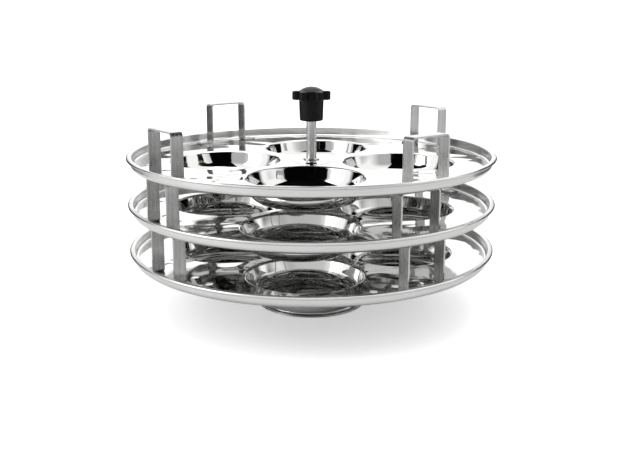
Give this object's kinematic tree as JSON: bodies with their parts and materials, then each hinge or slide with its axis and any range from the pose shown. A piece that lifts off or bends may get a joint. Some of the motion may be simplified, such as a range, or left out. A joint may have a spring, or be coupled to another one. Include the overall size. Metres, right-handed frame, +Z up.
{
  "type": "steamed rice cake mould stand",
  "caption": "Stack of round polished steel pans with dished cups, spaced by strap arches on a central rod with a black lobed knob and a small dish foot.",
  "frame": {"origin": "centre of the ring on which the base dish stands, on the rod's axis", "axes": "+Z up along the rod, -Y towards the front of the stand, +X to the right seen from the front"},
  "size_m": [0.23, 0.23, 0.1394],
  "materials": {
    "pan_steel": "mirror-polished pressed stainless steel, faint circular polishing marks",
    "dish_steel": "polished pressed stainless steel",
    "strap_steel": "brushed along the strap, satin grey",
    "rod_steel": "satin drawn steel",
    "bush_steel": "turned, semi-bright",
    "fastener_steel": "plain bright steel",
    "insert_brass": "turned brass",
    "knob_plastic": "moulded black plastic, semi-gloss"
  },
  "bodies": {
    "base": {"base_dish": "dish_steel", "base_washer": "fastener_steel", "base_nut": "fastener_steel", "base_collar": "rod_steel", "spindle_rod": "rod_steel"},
    "bottom_slider": {"bottom_bush": "bush_steel"},
    "bottom_tier": {"bottom_pan": "pan_steel", "bottom_arch_1": "strap_steel", "bottom_arch_2": "strap_steel", "bottom_arch_3": "strap_steel", "bottom_arch_4": "strap_steel"},
    "middle_slider": {"middle_bush": "bush_steel"},
    "middle_tier": {"middle_pan": "pan_steel", "middle_arch_1": "strap_steel", "middle_arch_2": "strap_steel", "middle_arch_3": "strap_steel", "middle_arch_4": "strap_steel"},
    "top_slider": {"top_bush": "bush_steel"},
    "top_tier": {"top_pan": "pan_steel", "top_arch_1": "strap_steel", "top_arch_2": "strap_steel", "top_arch_3": "strap_steel", "top_arch_4": "strap_steel"},
    "knob_slider": {"knob_insert": "insert_brass"},
    "knob": {"knob_body": "knob_plastic"}
  },
  "joints": [
    {"name": "bottom_lift", "type": "slide", "parent": "base", "child": "bottom_slider", "axis": [0, 0, 1], "range_m": [0, 0.0075]},
    {"name": "bottom_turn", "type": "hinge", "parent": "bottom_slider", "child": "bottom_tier", "pos_m": [0, 0, 0.0337], "axis": [0, 0, 1], "continuous": true},
    {"name": "middle_lift", "type": "slide", "parent": "bottom_tier", "child": "middle_slider", "axis": [0, 0, 1], "range_m": [0, 0.0075]},
    {"name": "middle_turn", "type": "hinge", "parent": "middle_slider", "child": "middle_tier", "pos_m": [0, 0, 0.0628], "axis": [0, 0, 1], "continuous": true},
    {"name": "top_lift", "type": "slide", "parent": "middle_tier", "child": "top_slider", "axis": [0, 0, 1], "range_m": [0, 0.0075]},
    {"name": "top_turn", "type": "hinge", "parent": "top_slider", "child": "top_tier", "pos_m": [0, 0, 0.0919], "axis": [0, 0, 1], "continuous": true},
    {"name": "knob_rise", "type": "slide", "parent": "base", "child": "knob_slider", "axis": [0, 0, 1], "range_m": [0, 0.0105]},
    {"name": "knob_turn", "type": "hinge", "parent": "knob_slider", "child": "knob", "pos_m": [0, 0, 0.1181], "axis": [0, 0, 1], "range_deg": [0, 3600]}
  ],
  "couplings": [
    {"joint": "knob_rise", "follows": "knob_turn", "m_per_rad": 0.00015915}
  ]
}
